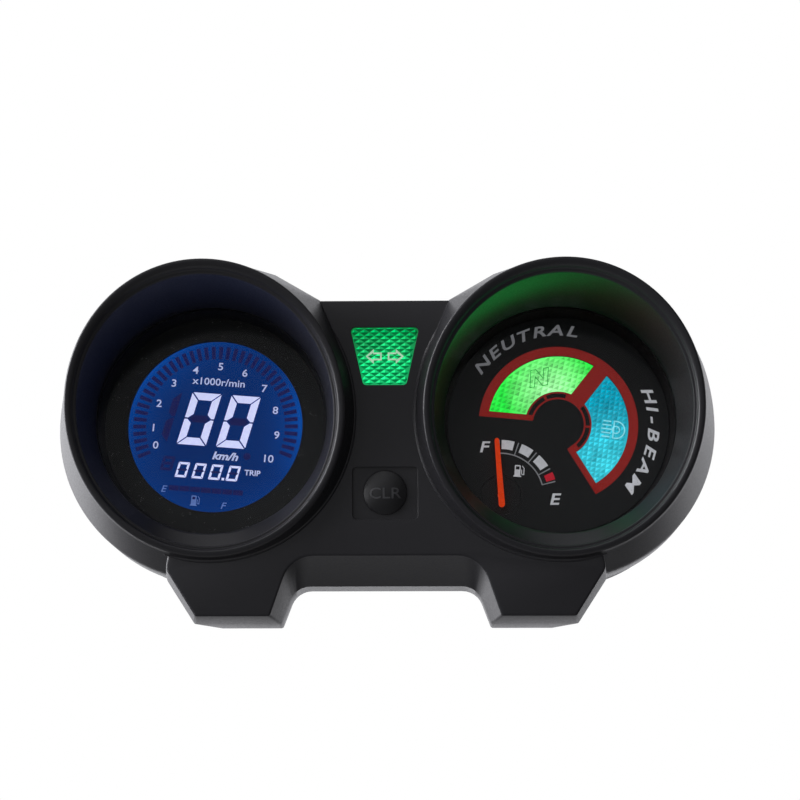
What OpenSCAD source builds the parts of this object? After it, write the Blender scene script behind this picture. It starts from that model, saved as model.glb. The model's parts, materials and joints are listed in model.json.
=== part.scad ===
// Instrument cluster for a light motorcycle: twin hooded dials joined by a bridge.
// The left pod holds a round LCD, the right pod a dial plate with two indicator
// windows and a fuel gauge, and the bridge holds the turn-signal window and a button.
//
// +X is to the right as the rider sees it, +Z is up, and the dials face -Y.
// The origin lies on the mounting face, midway between the two upper mounting holes.
// Parts are drawn in the dial frame: x right, y up, z towards the rider, z = 0 on the dials.

/* [Layout] */
// Distance between the centres of the two dials
pod_spacing = 131; // [129:1:134]
// Depth from the dial faces back to the mounting face
dial_depth = 46; // [44:1:50]
// Height of the dial centres above the upper mounting holes
dial_rise = -20; // [-22:1:-18]

/* [Hood] */
// Radius of the hood where it meets the case
hood_base_r = 59.5; // [59:0.1:60]
// Half angle of the hood's outer flare
hood_flare = 13; // [12.5:0.1:13.5]
// Height of the flare's axis above the dial centre
hood_shift = 3.2; // [3:0.1:3.5]
// Half angle of the flare under the hood
hood_low_flare = 23.6; // [23:0.1:24]
// Lean of the bore's axis below the dial axis
bore_lean = 5; // [4:0.5:6]
// Tilt of the rim plane, top edge forward
rim_tilt = 21.4; // [20:0.1:22]
// Distance of the rim plane in front of the dial centre
rim_h = 35.6; // [34:0.1:37]
// Half angle of the hood's inner flare
bore_flare = 8.7; // [8:0.1:9]
// Radius of the opening in front of each dial lens
dial_open_r = 43.6; // [43:0.1:44]
// Distance of that opening's edge in front of the dial
seat_h = 12.84; // [12.5:0.01:13]

/* [Bridge] */
// Tilt of the bridge face, top edge forward
face_tilt = 10.6; // [10:0.1:11]
// Distance of the bridge face in front of the dial plane at mid height
face_h = 22; // [21.5:0.1:22.5]
// Half width of the bridge at its top edge
bridge_half_w = 24.2; // [24:0.1:26]
// Height of the bridge's top edge
bridge_top = 41.1; // [40:0.1:42]
// Half width of the face at the bottom of the feet
foot_half_w = 70.5; // [69:0.1:72]
// Height of the bottom edge of the feet on the face
foot_bottom = -73.8; // [-75:0.1:-72]
// Height of the arch's top edge on the face
arch_top = -52; // [-53:0.1:-51]
// Half width of the arch at the bottom of the feet
arch_half_w = 42.7; // [42:0.1:44]

/* [Button] */
// Radius of the reset button
button_r = 8; // [7:0.1:8.5]
// Height of the button's centre on the bridge face
button_y = -29.5; // [-30:0.1:-29]
// Travel of the reset button
button_travel = 1; // [0.5:0.1:1]

/* [Displays] */
// Radius of the visible part of the LCD
lcd_window_r = 33.44; // [32:0.1:34]
// Outer radius of the indicator windows
window_outer_r = 26.7; // [26:0.1:27]
// Inner radius of the indicator windows
window_inner_r = 12.65; // [12:0.1:13]
// Direction of the bar between the indicator windows
divider_angle = 51.7; // [50:0.1:53]
// Width of the bar between the indicator windows
divider_w = 6.3; // [5:0.1:7]
// Fuel gauge pivot, right of the right dial's centre
gauge_x = -22.2; // [-23:0.1:-21.5]
// Fuel gauge pivot, above the right dial's centre
gauge_y = -27.4; // [-28:0.1:-27]
// Direction of the needle at full
needle_full = 93.7; // [90:0.1:96]

/* [Mounting] */
// Distance between the two upper mounting holes
mount_spacing = 90; // [86:1:94]
// Drop from the upper mounting holes to the lower one
mount_drop = 56; // [54:1:58]
// Radius of the thread in the mounting inserts
mount_hole_r = 2.5; // [2:0.1:3]
// Length of the mounting inserts
insert_len = 12; // [10:1:12]

/* [Hidden] */

$fn = 96;
slop = 0.02;
fit_gap = 0.15;
running_gap = 0.06;
wall = 2.5;
pod_x = pod_spacing / 2;

// Depths of the layers, all measured from the dial plane
seat_t = 2;
lens_t = 2;
lens_front = seat_h - seat_t;
lens_back = lens_front - lens_t;
lens_seal_t = 0.8;
ring_front = lens_back - lens_seal_t;
flange_t = 1.5;
plate_t = 0.8;
board_front = -12;
board_t = 1.6;
board_back = board_front - board_t;
part_line = -17;
seal_t = 1;
case_front = part_line - seal_t;
foot_tray_back = -26;
case_back = -38;
mount_face = -dial_depth;

// Radii inside a pod
tube_r = 48.2;
pocket_r = 45.8;
lens_r = 45.6;
ring_outer_r = 45.4;
ring_inner_r = 42.2;
flange_r = 49.2;
board_r = 48;
case_r = hood_base_r - 1.4;

// Fixings inside a pod
ear_r = 4;
ear_at = 51;
ear_angles = [45, 135, 225, 315];
dial_pilot_r = 1.1;
post_r = 3;
post_at = 44;
post_angles = [30, 150, 270];
post_pilot_r = 0.9;
column_at = 53.4;
boss_r = 3.8;
boss_front = 7.5;
column_r = 4.4;
case_pilot_r = 1.5;
head_seat = -22;
bridge_column_y = -50.5;

// Bridge plate: sections at the face, at the foot of the bevel and at the parting line
shoulder_x = 81.5;
shoulder_y = -56;
bevel_depth = -11;
bevel_foot_drop = 1.7;
bevel_side = 1.2;
tail_foot_w = 63.3;
arch_bevel_w = 39.2;
arch_bevel_top = -61.5;
arch_slope = 0.38;
arch_corner_r = 12;
arch_bevel_corner_r = 8;

// Turn-signal window on the bridge face
sign_top_y = 31.8;
sign_bottom_y = 10.3;
sign_top_w = 12.9;
sign_bottom_w = 8;
sign_corner_r = 1.6;
sign_recess = 2;
sign_flange = 1.5;
sign_flange_t = 1.6;

// Button recess, board and switch under the bridge face
recess_half_w = 12.1;
recess_top_y = -20;
recess_bottom_y = -39.5;
recess_depth = 1.2;
guide_outer_r = 10.6;
guide_end = -8.6;
button_flange_r = 9.4;
button_flange_t = 1;
button_dome_h = 2;
button_edge_w = 0.2;
stem_r = 1.8;
plunger_r = 1.7;
plunger_top = -12.4;
plunger_bottom = -15.6;
switch_size = 7;
bridge_board_front = -17.8;
bridge_board_half_w = 14.5;
bridge_board_top = 35;
bridge_board_bottom = -43.5;
bridge_post_x = 10.5;
bridge_post_r = 2.8;
bridge_post_ys = [-6, -41];

// LCD stack
lcd_flat = 35;
lcd_t = 2.8;
lcd_front = -1.6;
lcd_back = lcd_front - lcd_t;
guide_back = -10.4;
guide_half_h = 31;
frame_t = 1.4;

// Fuel gauge movement
movement_r = 11.5;
movement_front = -1.6;
collar_r = 7.5;
collar_top = 0.5;
bobbin_r = 6.6;
bobbin_front = -4.4;
bobbin_back = -9.6;
magnet_r = 4.5;
magnet_h = 3;
shaft_r = 0.6;
needle_base_h = 3.2;
needle_t = 1.2;
needle_len = 21.4;
needle_tail = 5;
needle_tip_w = 1.7;
needle_root_w = 2.3;

// Rear connector
socket_x = 0;
socket_y = -2;
socket_w = 28;
socket_h = 13;
socket_back = -44;
socket_front = -32;
pin_pitch = 4;
pin_half = 0.5;

// ---- Frames and shared shapes ----

module placed() translate([0, -dial_depth, dial_rise]) rotate([90, 0, 0]) children();

module face_frame() translate([0, 0, face_h]) rotate([face_tilt, 0, 0]) children();

module rim_frame() translate([0, 0, rim_h]) rotate([rim_tilt, 0, 0]) children();

module both_pods() for (side = [-1, 1]) translate([side * pod_x, 0, 0]) children();

module left_pod() translate([-pod_x, 0, 0]) children();

module right_pod() translate([pod_x, 0, 0]) children();

module gauge_place() right_pod() translate([gauge_x, gauge_y, 0]) children();

// Straight disc or tube between two depths
module disc(r, back, front) translate([0, 0, back]) cylinder(h = front - back, r = r);

module tube(outer, inner, back, front) difference() {
    disc(outer, back, front);
    disc(inner, back - 1, front + 1);
}

module ring_of(angles, at) for (a = angles) rotate([0, 0, a]) translate([at, 0, 0]) children();

// Box between two depths, centred on x and y
module slab(w, h, back, front) translate([-w / 2, -h / 2, back]) cube([w, h, front - back]);

// Arc tangent to both sides of the corner a-b-c
function corner_arc(a, b, c, r, n) =
    let (
        u = (a - b) / norm(a - b),
        v = (c - b) / norm(c - b),
        half = acos(u * v) / 2,
        centre = b + (u + v) / norm(u + v) * r / sin(half),
        start = b + u * r / tan(half) - centre,
        stop = b + v * r / tan(half) - centre,
        way = start.x * stop.y - start.y * stop.x > 0 ? 1 : -1
    )
    [for (i = [0:n])
        let (s = way * (180 - 2 * half) * i / n)
        centre + [start.x * cos(s) - start.y * sin(s), start.x * sin(s) + start.y * cos(s)]];

function rounded(pts, radii, n = 6) =
    let (last = len(pts))
    [for (i = [0:last - 1])
        each corner_arc(pts[(i + last - 1) % last], pts[i], pts[(i + 1) % last], radii[i], n)];

// Half outline of a shape that is symmetric about x = 0, completed by its mirror image
function mirrored(half) = concat(half, [for (i = [len(half) - 1:-1:0]) [-half[i].x, half[i].y]]);

// Moves every point of an outline towards x = 0 and y = 0 by t
function inset(pts, t) = [for (p = pts) [p.x - sign(p.x) * t, p.y - sign(p.y) * t]];

// ---- Housing shapes ----

// Cone of the given radius at z = at_h, which grows forwards by the flare angle
module flared(r, at_h, flare, back, front) translate([0, 0, back]) cylinder(
    h = front - back,
    r1 = r + (back - at_h) * tan(flare),
    r2 = r + (front - at_h) * tan(flare)
);

module half_space(back) translate([-100, -100, back]) cube([200, 200, 120]);

module below_rim(drop) rim_frame() translate([-100, -100, -150 - drop]) cube([200, 200, 150]);

// Hood shape: an upper cone, a steeper lower cone and the straight base behind them
module hood_outer(t, drop, back = part_line) {
    intersection() {
        union() {
            translate([0, hood_shift, 0]) flared(hood_base_r - t, 0, -hood_flare, -5, 62);
            flared(hood_base_r - t, 0, -hood_low_flare, 0, 62);
        }
        below_rim(drop);
        half_space(0);
    }
    for (y = [0, hood_shift]) translate([0, y, 0]) disc(hood_base_r - t, back, 0.5);
}

// Bore of the hood in front of the given depth, its wall moved outwards by t
module hood_bore(t, back) intersection() {
    translate([0, -0.3 + seat_h * tan(bore_lean), 0])
        rotate([bore_lean, 0, 0])
        flared(dial_open_r + t, seat_h, bore_flare, -20, 80);
    half_space(back);
}

face_pts = mirrored([
    [foot_half_w, foot_bottom], [shoulder_x, shoulder_y], [shoulder_x, -30],
    [bridge_half_w, bridge_top]
]);
bevel_pts = mirrored([
    [foot_half_w + bevel_side, foot_bottom - bevel_foot_drop],
    [shoulder_x + 1, shoulder_y - 1.8], [shoulder_x + 1, -30],
    [bridge_half_w + 0.6, bridge_top + 0.3]
]);
tail_pts = mirrored([
    [tail_foot_w, foot_bottom - bevel_foot_drop - 0.1],
    [shoulder_x - 7, shoulder_y - 1.8], [shoulder_x - 5, -30],
    [bridge_half_w + 0.6, bridge_top + 0.3]
]);

module sheet(pts) linear_extrude(slop) polygon(pts);

// Solid wedge of bridge and feet, before the arch is cut out
module plate_block(t, back = part_line) hull() {
    face_frame() translate([0, 0, -t - slop]) sheet(inset(face_pts, t));
    translate([0, 0, -2]) sheet(inset(bevel_pts, t));
    translate([0, 0, back]) sheet(inset(tail_pts, t));
}

module thin_disc(x, y, z, r) translate([x, y, z]) cylinder(h = slop, r = r, $fn = 48);

// Space under the bridge between the feet, grown by t on all sides
module arch_space(t) {
    hull() for (side = [-1, 1]) {
        for (step = [0, 1]) translate([0, 0, step * 30]) face_frame() {
            thin_disc(side * (arch_half_w + t - 20.4 + step * 3), arch_top - 12.8 + t + step * 9,
                -0.5, arch_corner_r);
            thin_disc(side * (arch_half_w + 8 + t + step * 3), foot_bottom - 24, -0.5, 1);
        }
        thin_disc(side * (arch_bevel_w + t - 13.5), arch_bevel_top - 8 + t, -2,
            arch_bevel_corner_r);
        thin_disc(side * (arch_bevel_w + t + 5), foot_bottom - 20, -2, 1);
    }
    translate([0, 0, foot_tray_back - 20])
        linear_extrude(-foot_tray_back + 18 + slop)
        polygon(arch_outline(t));
}

// Arch outline behind the bevel
function arch_outline(t) =
    let (
        low = foot_bottom - 20,
        low_w = arch_bevel_w + 8 + t,
        top = arch_bevel_top + t,
        top_w = arch_bevel_w - 5.2 + t
    )
    rounded([[-low_w, low], [-top_w, top], [top_w, top], [low_w, low]], [1, 8, 8, 1]);

// Fairing between a hood and the top corner of the bridge
module fairing(side) difference() {
    translate([0, 0, part_line]) linear_extrude(face_h + 12 - part_line) polygon([
        [side * bridge_half_w, bridge_top + 0.3], [side * (pod_x - 24.5), 51.3],
        [side * (pod_x - 20), 35], [side * bridge_half_w, 30]
    ]);
    face_frame() translate([-100, -100, -0.1]) cube([200, 200, 60]);
}

module rear_outline(t) difference() {
    union() {
        for (side = [-1, 1], y = [0, hood_shift])
            translate([side * pod_x, y]) circle(r = hood_base_r - t);
        polygon(inset(tail_pts, t));
    }
    polygon(arch_outline(t));
}

module sign_outline(grow) polygon(rounded([
    [-sign_bottom_w - grow, sign_bottom_y - grow], [sign_bottom_w + grow, sign_bottom_y - grow],
    [sign_top_w + grow, sign_top_y + grow], [-sign_top_w - grow, sign_top_y + grow]
], [sign_corner_r, sign_corner_r, sign_corner_r, sign_corner_r]));

module recess_outline() polygon(rounded([
    [-recess_half_w, recess_bottom_y], [recess_half_w, recess_bottom_y],
    [recess_half_w, recess_top_y], [-recess_half_w, recess_top_y]
], [2, 2, 2, 2]));

// Positions shared by the case screws, the cover's bosses and the rear case's columns
module at_case_screws() {
    both_pods() ring_of([90, 270], column_at) children();
    for (side = [-1, 1]) translate([side * (pod_x + column_at), 0, 0]) children();
    translate([0, bridge_column_y, 0]) children();
}

module at_dial_screws() both_pods() ring_of(ear_angles, ear_at) children();

module at_board_screws() both_pods() ring_of(post_angles, post_at) children();

module at_bridge_posts()
    for (side = [-1, 1], y = bridge_post_ys) translate([side * bridge_post_x, y, 0]) children();

module at_mounts() {
    for (side = [-1, 1]) translate([side * mount_spacing / 2, -dial_rise, 0]) children();
    translate([0, -dial_rise - mount_drop, 0]) children();
}

// ---- Casings ----

module cover_outside() {
    both_pods() hood_outer(0, 0);
    difference() {
        union() {
            plate_block(0);
            for (side = [-1, 1]) fairing(side);
        }
        arch_space(0);
    }
}

module cover_hollow() {
    both_pods() hood_outer(wall, 3.2, part_line - 1);
    difference() {
        plate_block(wall, part_line - 1);
        arch_space(wall);
    }
}

module cover_inner_walls() {
    both_pods() {
        intersection() {
            hood_bore(wall, 4);
            hood_outer(0.5, 0.5);
        }
        disc(tube_r, 4, seat_h + 0.5);
    }
    at_case_screws() disc(boss_r, part_line, boss_front);
    both_pods() ring_of([90, 270], column_at) translate([-5.8, -1.2, 4]) cube([5.8, 2.4, 4]);
    at_dial_screws() disc(3.4, 0, 12);
    face_frame() {
        at_bridge_posts() disc(bridge_post_r, bridge_board_front, -1);
        translate([0, button_y, 0]) disc(guide_outer_r, guide_end, -1);
    }
}

module cover_openings() {
    both_pods() {
        hood_bore(0, seat_h);
        disc(dial_open_r, 3, seat_h + 1);
        disc(pocket_r, 3, lens_front);
        intersection() {
            translate([0, -1.7, 0]) disc(48.2, 5, 70);
            difference() {
                translate([-100, -100, 0]) cube([200, 200, 90]);
                below_rim(1.2);
            }
        }
    }
    at_case_screws() disc(case_pilot_r, part_line - 1, 1);
    at_dial_screws() disc(dial_pilot_r, -1, 9);
    face_frame() {
        translate([0, 0, -wall - 3]) linear_extrude(wall + 6) sign_outline(0);
        translate([0, 0, -recess_depth]) linear_extrude(4) recess_outline();
        translate([0, button_y, 0]) disc(button_r + running_gap, -20, 4);
        translate([0, button_y, 0]) disc(9.3, -6.5, -5);
        at_bridge_posts() disc(post_pilot_r, bridge_board_front - 1, bridge_board_front + 7);
    }
}

module front_cover() placed() color("#1e1e21") difference() {
    union() {
        difference() {
            cover_outside();
            cover_hollow();
        }
        cover_inner_walls();
    }
    cover_openings();
}

module case_tray() translate([0, 0, foot_tray_back])
    linear_extrude(case_front - foot_tray_back) rear_outline(1.2);

// Middle of the rear case, between the two pods
module core_block(t, back, front)
    translate([-30 + t, -47 + t, back]) cube([60 - 2 * t, 86.5 - 2 * t, front - back]);

module rear_case() placed() color("#18181a") difference() {
    union() {
        difference() {
            union() {
                case_tray();
                both_pods() disc(case_r, case_back, case_front);
                core_block(0, case_back, case_front);
            }
            translate([0, 0, foot_tray_back + wall]) linear_extrude(20) rear_outline(1.2 + wall);
            both_pods() disc(case_r - wall, case_back + wall, case_front + 1);
            core_block(wall, case_back + wall, case_front + 1);
        }
        at_case_screws() disc(column_r, foot_tray_back, part_line - 0.1);
        both_pods() ring_of([90, 270], column_at) disc(column_r, case_back, foot_tray_back + 1);
        for (side = [-1, 1]) translate([side * (pod_x + column_at), 0, 0])
            disc(column_r, case_back, foot_tray_back + 1);
        at_mounts() disc(9, mount_face, case_back + wall);
        at_mounts() disc(6.6, case_back, mount_face + insert_len + 2);
    }
    at_case_screws() {
        disc(1.8, case_back - 1, part_line + 1);
        disc(3, case_back - 1, head_seat);
    }
    at_mounts() disc(4.5, mount_face - 1, mount_face + insert_len);
    translate([socket_x, socket_y, 0])
        slab(socket_w + 2 * fit_gap, socket_h + 2 * fit_gap, case_back - 1, case_back + wall + 1);
}

module case_seal() placed() color("#101010") difference() {
    translate([0, 0, case_front]) linear_extrude(seal_t) difference() {
        rear_outline(1.3);
        rear_outline(2.4);
    }
    at_case_screws() disc(column_r + 0.3, case_front - 1, part_line + 1);
}

module mounting_inserts() placed() color("#b08d3f")
    at_mounts() tube(4.5, mount_hole_r, mount_face, mount_face + insert_len);

// ---- Lenses and seals ----

module lens() disc(lens_r, lens_back, lens_front);

module left_lens() placed() color("#dfe8ec", 0.3) left_pod() lens();

module right_lens() placed() color("#dfe8ec", 0.3) right_pod() lens();

module lens_seal() tube(lens_r, ring_inner_r + 1.4, ring_front, lens_back);

module left_lens_seal() placed() color("#151515") left_pod() lens_seal();

module right_lens_seal() placed() color("#151515") right_pod() lens_seal();

// ---- Left display ----

// Wall of the dial chamber with its flange, ears and board posts
module dial_ring_body(open_r) difference() {
    union() {
        disc(flange_r, -flange_t, 0);
        disc(ring_outer_r, -flange_t, ring_front);
        ring_of(ear_angles, ear_at) disc(ear_r, -flange_t, 0);
        ring_of(post_angles, post_at) disc(post_r, board_front, -flange_t + slop);
    }
    cylinder(h = ring_front + slop, r1 = ring_inner_r, r2 = ring_inner_r + 1.2);
    disc(open_r, -flange_t - 1, 1);
    ring_of(ear_angles, ear_at) disc(1.4, -flange_t - 1, 1);
    ring_of(post_angles, post_at) disc(post_pilot_r, board_front - 1, board_front + 8);
}

module left_dial_mask() placed() color("#202023") left_pod() dial_ring_body(lcd_window_r);

module octagon(flat, back, front) rotate([0, 0, 22.5]) translate([0, 0, back])
    cylinder(h = front - back, r = flat / cos(22.5), $fn = 8);

module lcd_panel() placed() color("#123a7a") left_pod() octagon(lcd_flat, lcd_back, lcd_front);

module lcd_light_guide() placed() color("#e8eef5") left_pod() intersection() {
    octagon(lcd_flat, guide_back, lcd_back - fit_gap);
    slab(90, 2 * guide_half_h, guide_back, 0);
}

module lcd_frame() placed() color("#f0f0f0") left_pod() difference() {
    octagon(lcd_flat + fit_gap + frame_t, board_front, lcd_front);
    octagon(lcd_flat + fit_gap, board_front - 1, lcd_front + 1);
}

module lcd_contact_strips() placed() color("#3a3a3a") left_pod()
    for (side = [-1, 1]) translate([0, side * 33, 0]) slab(28, 2.2, board_front, lcd_back);

module round_board() difference() {
    disc(board_r, board_back, board_front);
    ring_of(post_angles, post_at) disc(1.3, board_back - 1, board_front + 1);
}

module display_board() placed() color("#1f5c34") left_pod() round_board();

module led_chip() slab(3.5, 2.8, board_front, board_front + 1.4);

module backlight_leds() placed() color("#f4f4ea") left_pod()
    for (x = [-18, 0, 18], y = [-14, 14]) translate([x, y, 0]) led_chip();

module display_controller() placed() color("#161616") left_pod() translate([6, 8, 0])
    slab(14, 14, board_back - 1.6, board_back);

module display_components() placed() color("#3b3f7a") left_pod() {
    for (x = [-22, -12]) translate([x, -14, 0]) disc(3.4, board_back - 8, board_back);
    translate([14, -16, 0]) slab(10, 7, board_back - 3, board_back);
    translate([-14, 18, 0]) slab(12, 4, board_back - 4, board_back);
}

// ---- Right dial ----

module right_dial_ring() placed() color("#202023") right_pod() difference() {
    dial_ring_body(ring_inner_r - 4);
    translate([gauge_x, gauge_y, 0]) disc(collar_r + fit_gap, -flange_t - 1, 1);
}

// Half plane beyond a line through the dial centre, used to end a ring sector
module beyond(angle, gap) rotate([0, 0, angle]) translate([-60, gap, -30]) cube([120, 60, 60]);

// Ring sector of the neutral window
module neutral_sector(grow, back, front) intersection() {
    tube(window_outer_r + grow, window_inner_r - grow, back, front);
    beyond(divider_angle, divider_w / 2 - grow);
    beyond(-5.5, 2.6 - grow);
}

// Ring sector of the high-beam window
module high_beam_sector(grow, back, front) intersection() {
    tube(window_outer_r + grow, window_inner_r - grow, back, front);
    beyond(divider_angle + 180, divider_w / 2 - grow);
    beyond(-59, -grow);
}

module right_dial_plate() placed() color("#17171a") right_pod() difference() {
    disc(ring_inner_r - 0.3, 0, plate_t);
    neutral_sector(0, -1, 2);
    high_beam_sector(0, -1, 2);
    translate([gauge_x, gauge_y, 0]) disc(collar_r + 0.1, -1, 2);
}

module neutral_lens() placed() color("#44e04a") right_pod() {
    neutral_sector(-fit_gap, -1.7, 0.5);
    neutral_sector(1, -3.2, -1.6);
}

module high_beam_lens() placed() color("#2cb6d6") right_pod() {
    high_beam_sector(-fit_gap, -1.7, 0.5);
    high_beam_sector(1, -3.2, -1.6);
}

module indicator_light_box() placed() color("#f2f2ee") right_pod() difference() {
    union() {
        neutral_sector(1, board_front, -3.25);
        high_beam_sector(1, board_front, -3.25);
    }
    neutral_sector(-0.4, board_front - 1, 0);
    high_beam_sector(-0.4, board_front - 1, 0);
}

module indicator_leds() placed() color("#f4f4ea") right_pod() {
    for (a = [85, 112, 140]) rotate([0, 0, a]) translate([19.5, 0, 0]) led_chip();
    for (a = [10, -15, -40]) rotate([0, 0, a]) translate([19.5, 0, 0]) led_chip();
}

module indicator_board() placed() color("#1f5c34") right_pod() round_board();

// ---- Fuel gauge ----

module gauge_case() placed() color("#141416") gauge_place() difference() {
    union() {
        disc(movement_r, board_front, movement_front);
        disc(collar_r, movement_front - 0.5, collar_top);
    }
    disc(movement_r - 1, board_front + 0.4, movement_front - 1);
    disc(1.2, -3, 2);
}

module gauge_bobbin() placed() color("#d8d2c0") gauge_place() difference() {
    disc(bobbin_r, bobbin_back, bobbin_front);
    disc(magnet_r + 0.5, bobbin_back + 0.8, bobbin_front - 0.8);
    disc(shaft_r + running_gap, -20, 0);
}

// One half coil: a flat rectangular loop standing beside the shaft
module half_coil(half_w, thick, back, front) translate([0, 0.9, 0]) rotate([90, 0, 0])
    translate([0, 0, -2.5]) linear_extrude(2.5) difference() {
        translate([-half_w - thick, back - thick])
            square([2 * (half_w + thick), front - back + 2 * thick]);
        translate([-half_w, back]) square([2 * half_w, front - back]);
    }

module gauge_coils() placed() color("#a8562a") gauge_place() {
    for (turn = [0, 180]) rotate([0, 0, turn])
        half_coil(bobbin_r + 0.05, 0.7, bobbin_back - 0.05, bobbin_front + 0.05);
    for (turn = [90, 270]) rotate([0, 0, turn])
        half_coil(bobbin_r + 0.9, 0.7, bobbin_back - 0.8, bobbin_front + 0.8);
}

module gauge_magnet() placed() color("#5b5b60") gauge_place()
    translate([0, 0, (bobbin_back + bobbin_front - magnet_h) / 2])
    difference() {
        cylinder(h = magnet_h, r = magnet_r);
        translate([0, 0, -1]) cylinder(h = magnet_h + 2, r = shaft_r);
    }

module gauge_shaft() placed() color("#c8c8cc") gauge_place()
    disc(shaft_r, bobbin_back - 0.6, needle_base_h + 0.4);

module needle_outline() {
    tip_at = needle_len - needle_tip_w / 2;
    tail_at = needle_tail - needle_root_w / 2;
    polygon([
        [-tail_at, -needle_root_w / 2], [tip_at, -needle_tip_w / 2],
        [tip_at, needle_tip_w / 2], [-tail_at, needle_root_w / 2]
    ]);
    translate([tip_at, 0]) circle(r = needle_tip_w / 2, $fn = 32);
    translate([-tail_at, 0]) circle(r = needle_root_w / 2, $fn = 32);
}

module fuel_needle() placed() color("#f0491c") gauge_place() difference() {
    union() {
        rotate([0, 0, needle_full]) translate([0, 0, needle_base_h])
            linear_extrude(needle_t) needle_outline();
        disc(needle_root_w / 2, 1.2, needle_base_h + slop);
    }
    disc(shaft_r, 0, needle_base_h + 0.4);
}

// ---- Bridge ----

module turn_signal_lens() placed() color("#19c96b") face_frame() {
    translate([0, 0, -wall - 0.2]) linear_extrude(wall + 0.2 - sign_recess)
        sign_outline(-fit_gap);
    translate([0, 0, -wall - 0.15 - sign_flange_t]) linear_extrude(sign_flange_t)
        sign_outline(sign_flange);
}

module turn_signal_light_box() placed() color("#f2f2ee") face_frame() {
    box_front = -wall - 0.2 - sign_flange_t;
    translate([0, 0, bridge_board_front]) linear_extrude(box_front - bridge_board_front)
        difference() {
            sign_outline(sign_flange);
            sign_outline(0);
        }
    translate([-0.5, sign_bottom_y, bridge_board_front])
        cube([1, sign_top_y - sign_bottom_y, box_front - bridge_board_front - 4]);
}

module turn_signal_leds() placed() color("#f4f4ea") face_frame()
    for (side = [-1, 1]) translate([side * 5, 21, 0])
        slab(3.5, 2.8, bridge_board_front, bridge_board_front + 1.4);

module bridge_board() placed() color("#1f5c34") face_frame() difference() {
    translate([-bridge_board_half_w, bridge_board_bottom, bridge_board_front - board_t])
        cube([2 * bridge_board_half_w, bridge_board_top - bridge_board_bottom, board_t]);
    at_bridge_posts() disc(1.3, bridge_board_front - 3, bridge_board_front + 1);
}

module reset_button() placed() color("#1b1b1e") face_frame() translate([0, button_y, 0]) {
    dome_r = (button_r * button_r + button_dome_h * button_dome_h) / (2 * button_dome_h);
    disc(button_r, guide_end - 0.2, button_edge_w);
    intersection() {
        disc(button_r, button_edge_w - slop, 6);
        translate([0, 0, button_edge_w + button_dome_h - dome_r]) sphere(r = dome_r);
    }
    disc(button_flange_r, guide_end - 0.1 - button_flange_t, guide_end - 0.1);
    disc(stem_r, plunger_top + 0.02, guide_end - 1);
}

module button_seal() placed() color("#2a2a2a") face_frame() translate([0, button_y, 0])
    tube(9.3, button_r + 0.05, -6.5, -5);

module reset_switch() placed() color("#2b2b2f") face_frame() translate([0, button_y, 0])
    difference() {
        slab(switch_size, switch_size, bridge_board_front, plunger_top - 1.6);
        disc(plunger_r + running_gap, bridge_board_front + 0.8, 0);
    }

module switch_plunger() placed() color("#c9b48a") face_frame() translate([0, button_y, 0])
    disc(plunger_r, plunger_bottom, plunger_top);

// ---- Wiring ----

// Flat cable from the back of a round board to the back of the bridge board
module ribbon(side, y0) {
    cable_t = 0.5;
    cable_w = 9;
    rise = face_h + (bridge_board_front - board_t) / cos(face_tilt) + y0 * tan(face_tilt) - 0.1;
    translate([0, y0, 0]) {
        translate([side * 20 - 9, 0, board_back - cable_t])
            cube([18, cable_w, cable_t]);
        translate([side * 11.5 - cable_t / 2, 0, board_back - cable_t])
            cube([cable_t, cable_w, rise - board_back + cable_t]);
    }
}

module left_ribbon() placed() color("#8c8c90") ribbon(-1, 4);

module right_ribbon() placed() color("#8c8c90") ribbon(1, 4);

module connector_socket() placed() color("#e6e2d4") translate([socket_x, socket_y, 0])
    difference() {
        union() {
            slab(socket_w, socket_h, socket_back, socket_front);
            slab(socket_w + 4, socket_h + 4, case_back + wall, case_back + wall + 1.5);
        }
        slab(socket_w - 3, socket_h - 3, socket_back - 1, case_back + wall);
    }

module at_pins() for (i = [-2.5:1:2.5], row = [-0.5, 0.5])
    translate([socket_x + i * pin_pitch, socket_y + row * pin_pitch, 0]) children();

module connector_pins() placed() color("#cfcfd2")
    at_pins() slab(2 * pin_half, 2 * pin_half, socket_back + 2, case_back + wall);

module connector_lead() placed() color("#8c8c90") {
    translate([socket_x - 6, socket_y - 0.6, socket_front]) cube([12, 1.2, 12]);
    translate([socket_x - 34, socket_y - 0.6 - 4, socket_front + 11]) cube([40, 9.2, 1.2]);
    translate([socket_x - 34, socket_y - 0.6 - 4, socket_front + 11])
        cube([1.2, 9.2, board_back - socket_front - 11]);
}

// ---- Fasteners ----

module screw(shank_r, head_r, head_t, len) {
    disc(shank_r, 0, len);
    difference() {
        disc(head_r, -head_t, 0);
        slab(2 * head_r * 0.8, head_r * 0.28, -head_t - 1, -head_t * 0.5);
        slab(head_r * 0.28, 2 * head_r * 0.8, -head_t - 1, -head_t * 0.5);
    }
}

module case_screws() placed() color("#9a9aa0")
    at_case_screws() translate([0, 0, head_seat]) screw(1.45, 2.8, 2.2, 18);

module dial_screws() placed() color("#9a9aa0")
    at_dial_screws() translate([0, 0, -flange_t]) screw(1.05, 2.2, 1.5, 9);

module board_screws() placed() color("#9a9aa0")
    at_board_screws() translate([0, 0, board_back]) screw(0.85, 2.1, 1.4, 8);

module bridge_board_screws() placed() color("#9a9aa0") face_frame()
    at_bridge_posts() translate([0, 0, bridge_board_front - board_t]) screw(0.85, 2, 1.3, 7);

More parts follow.
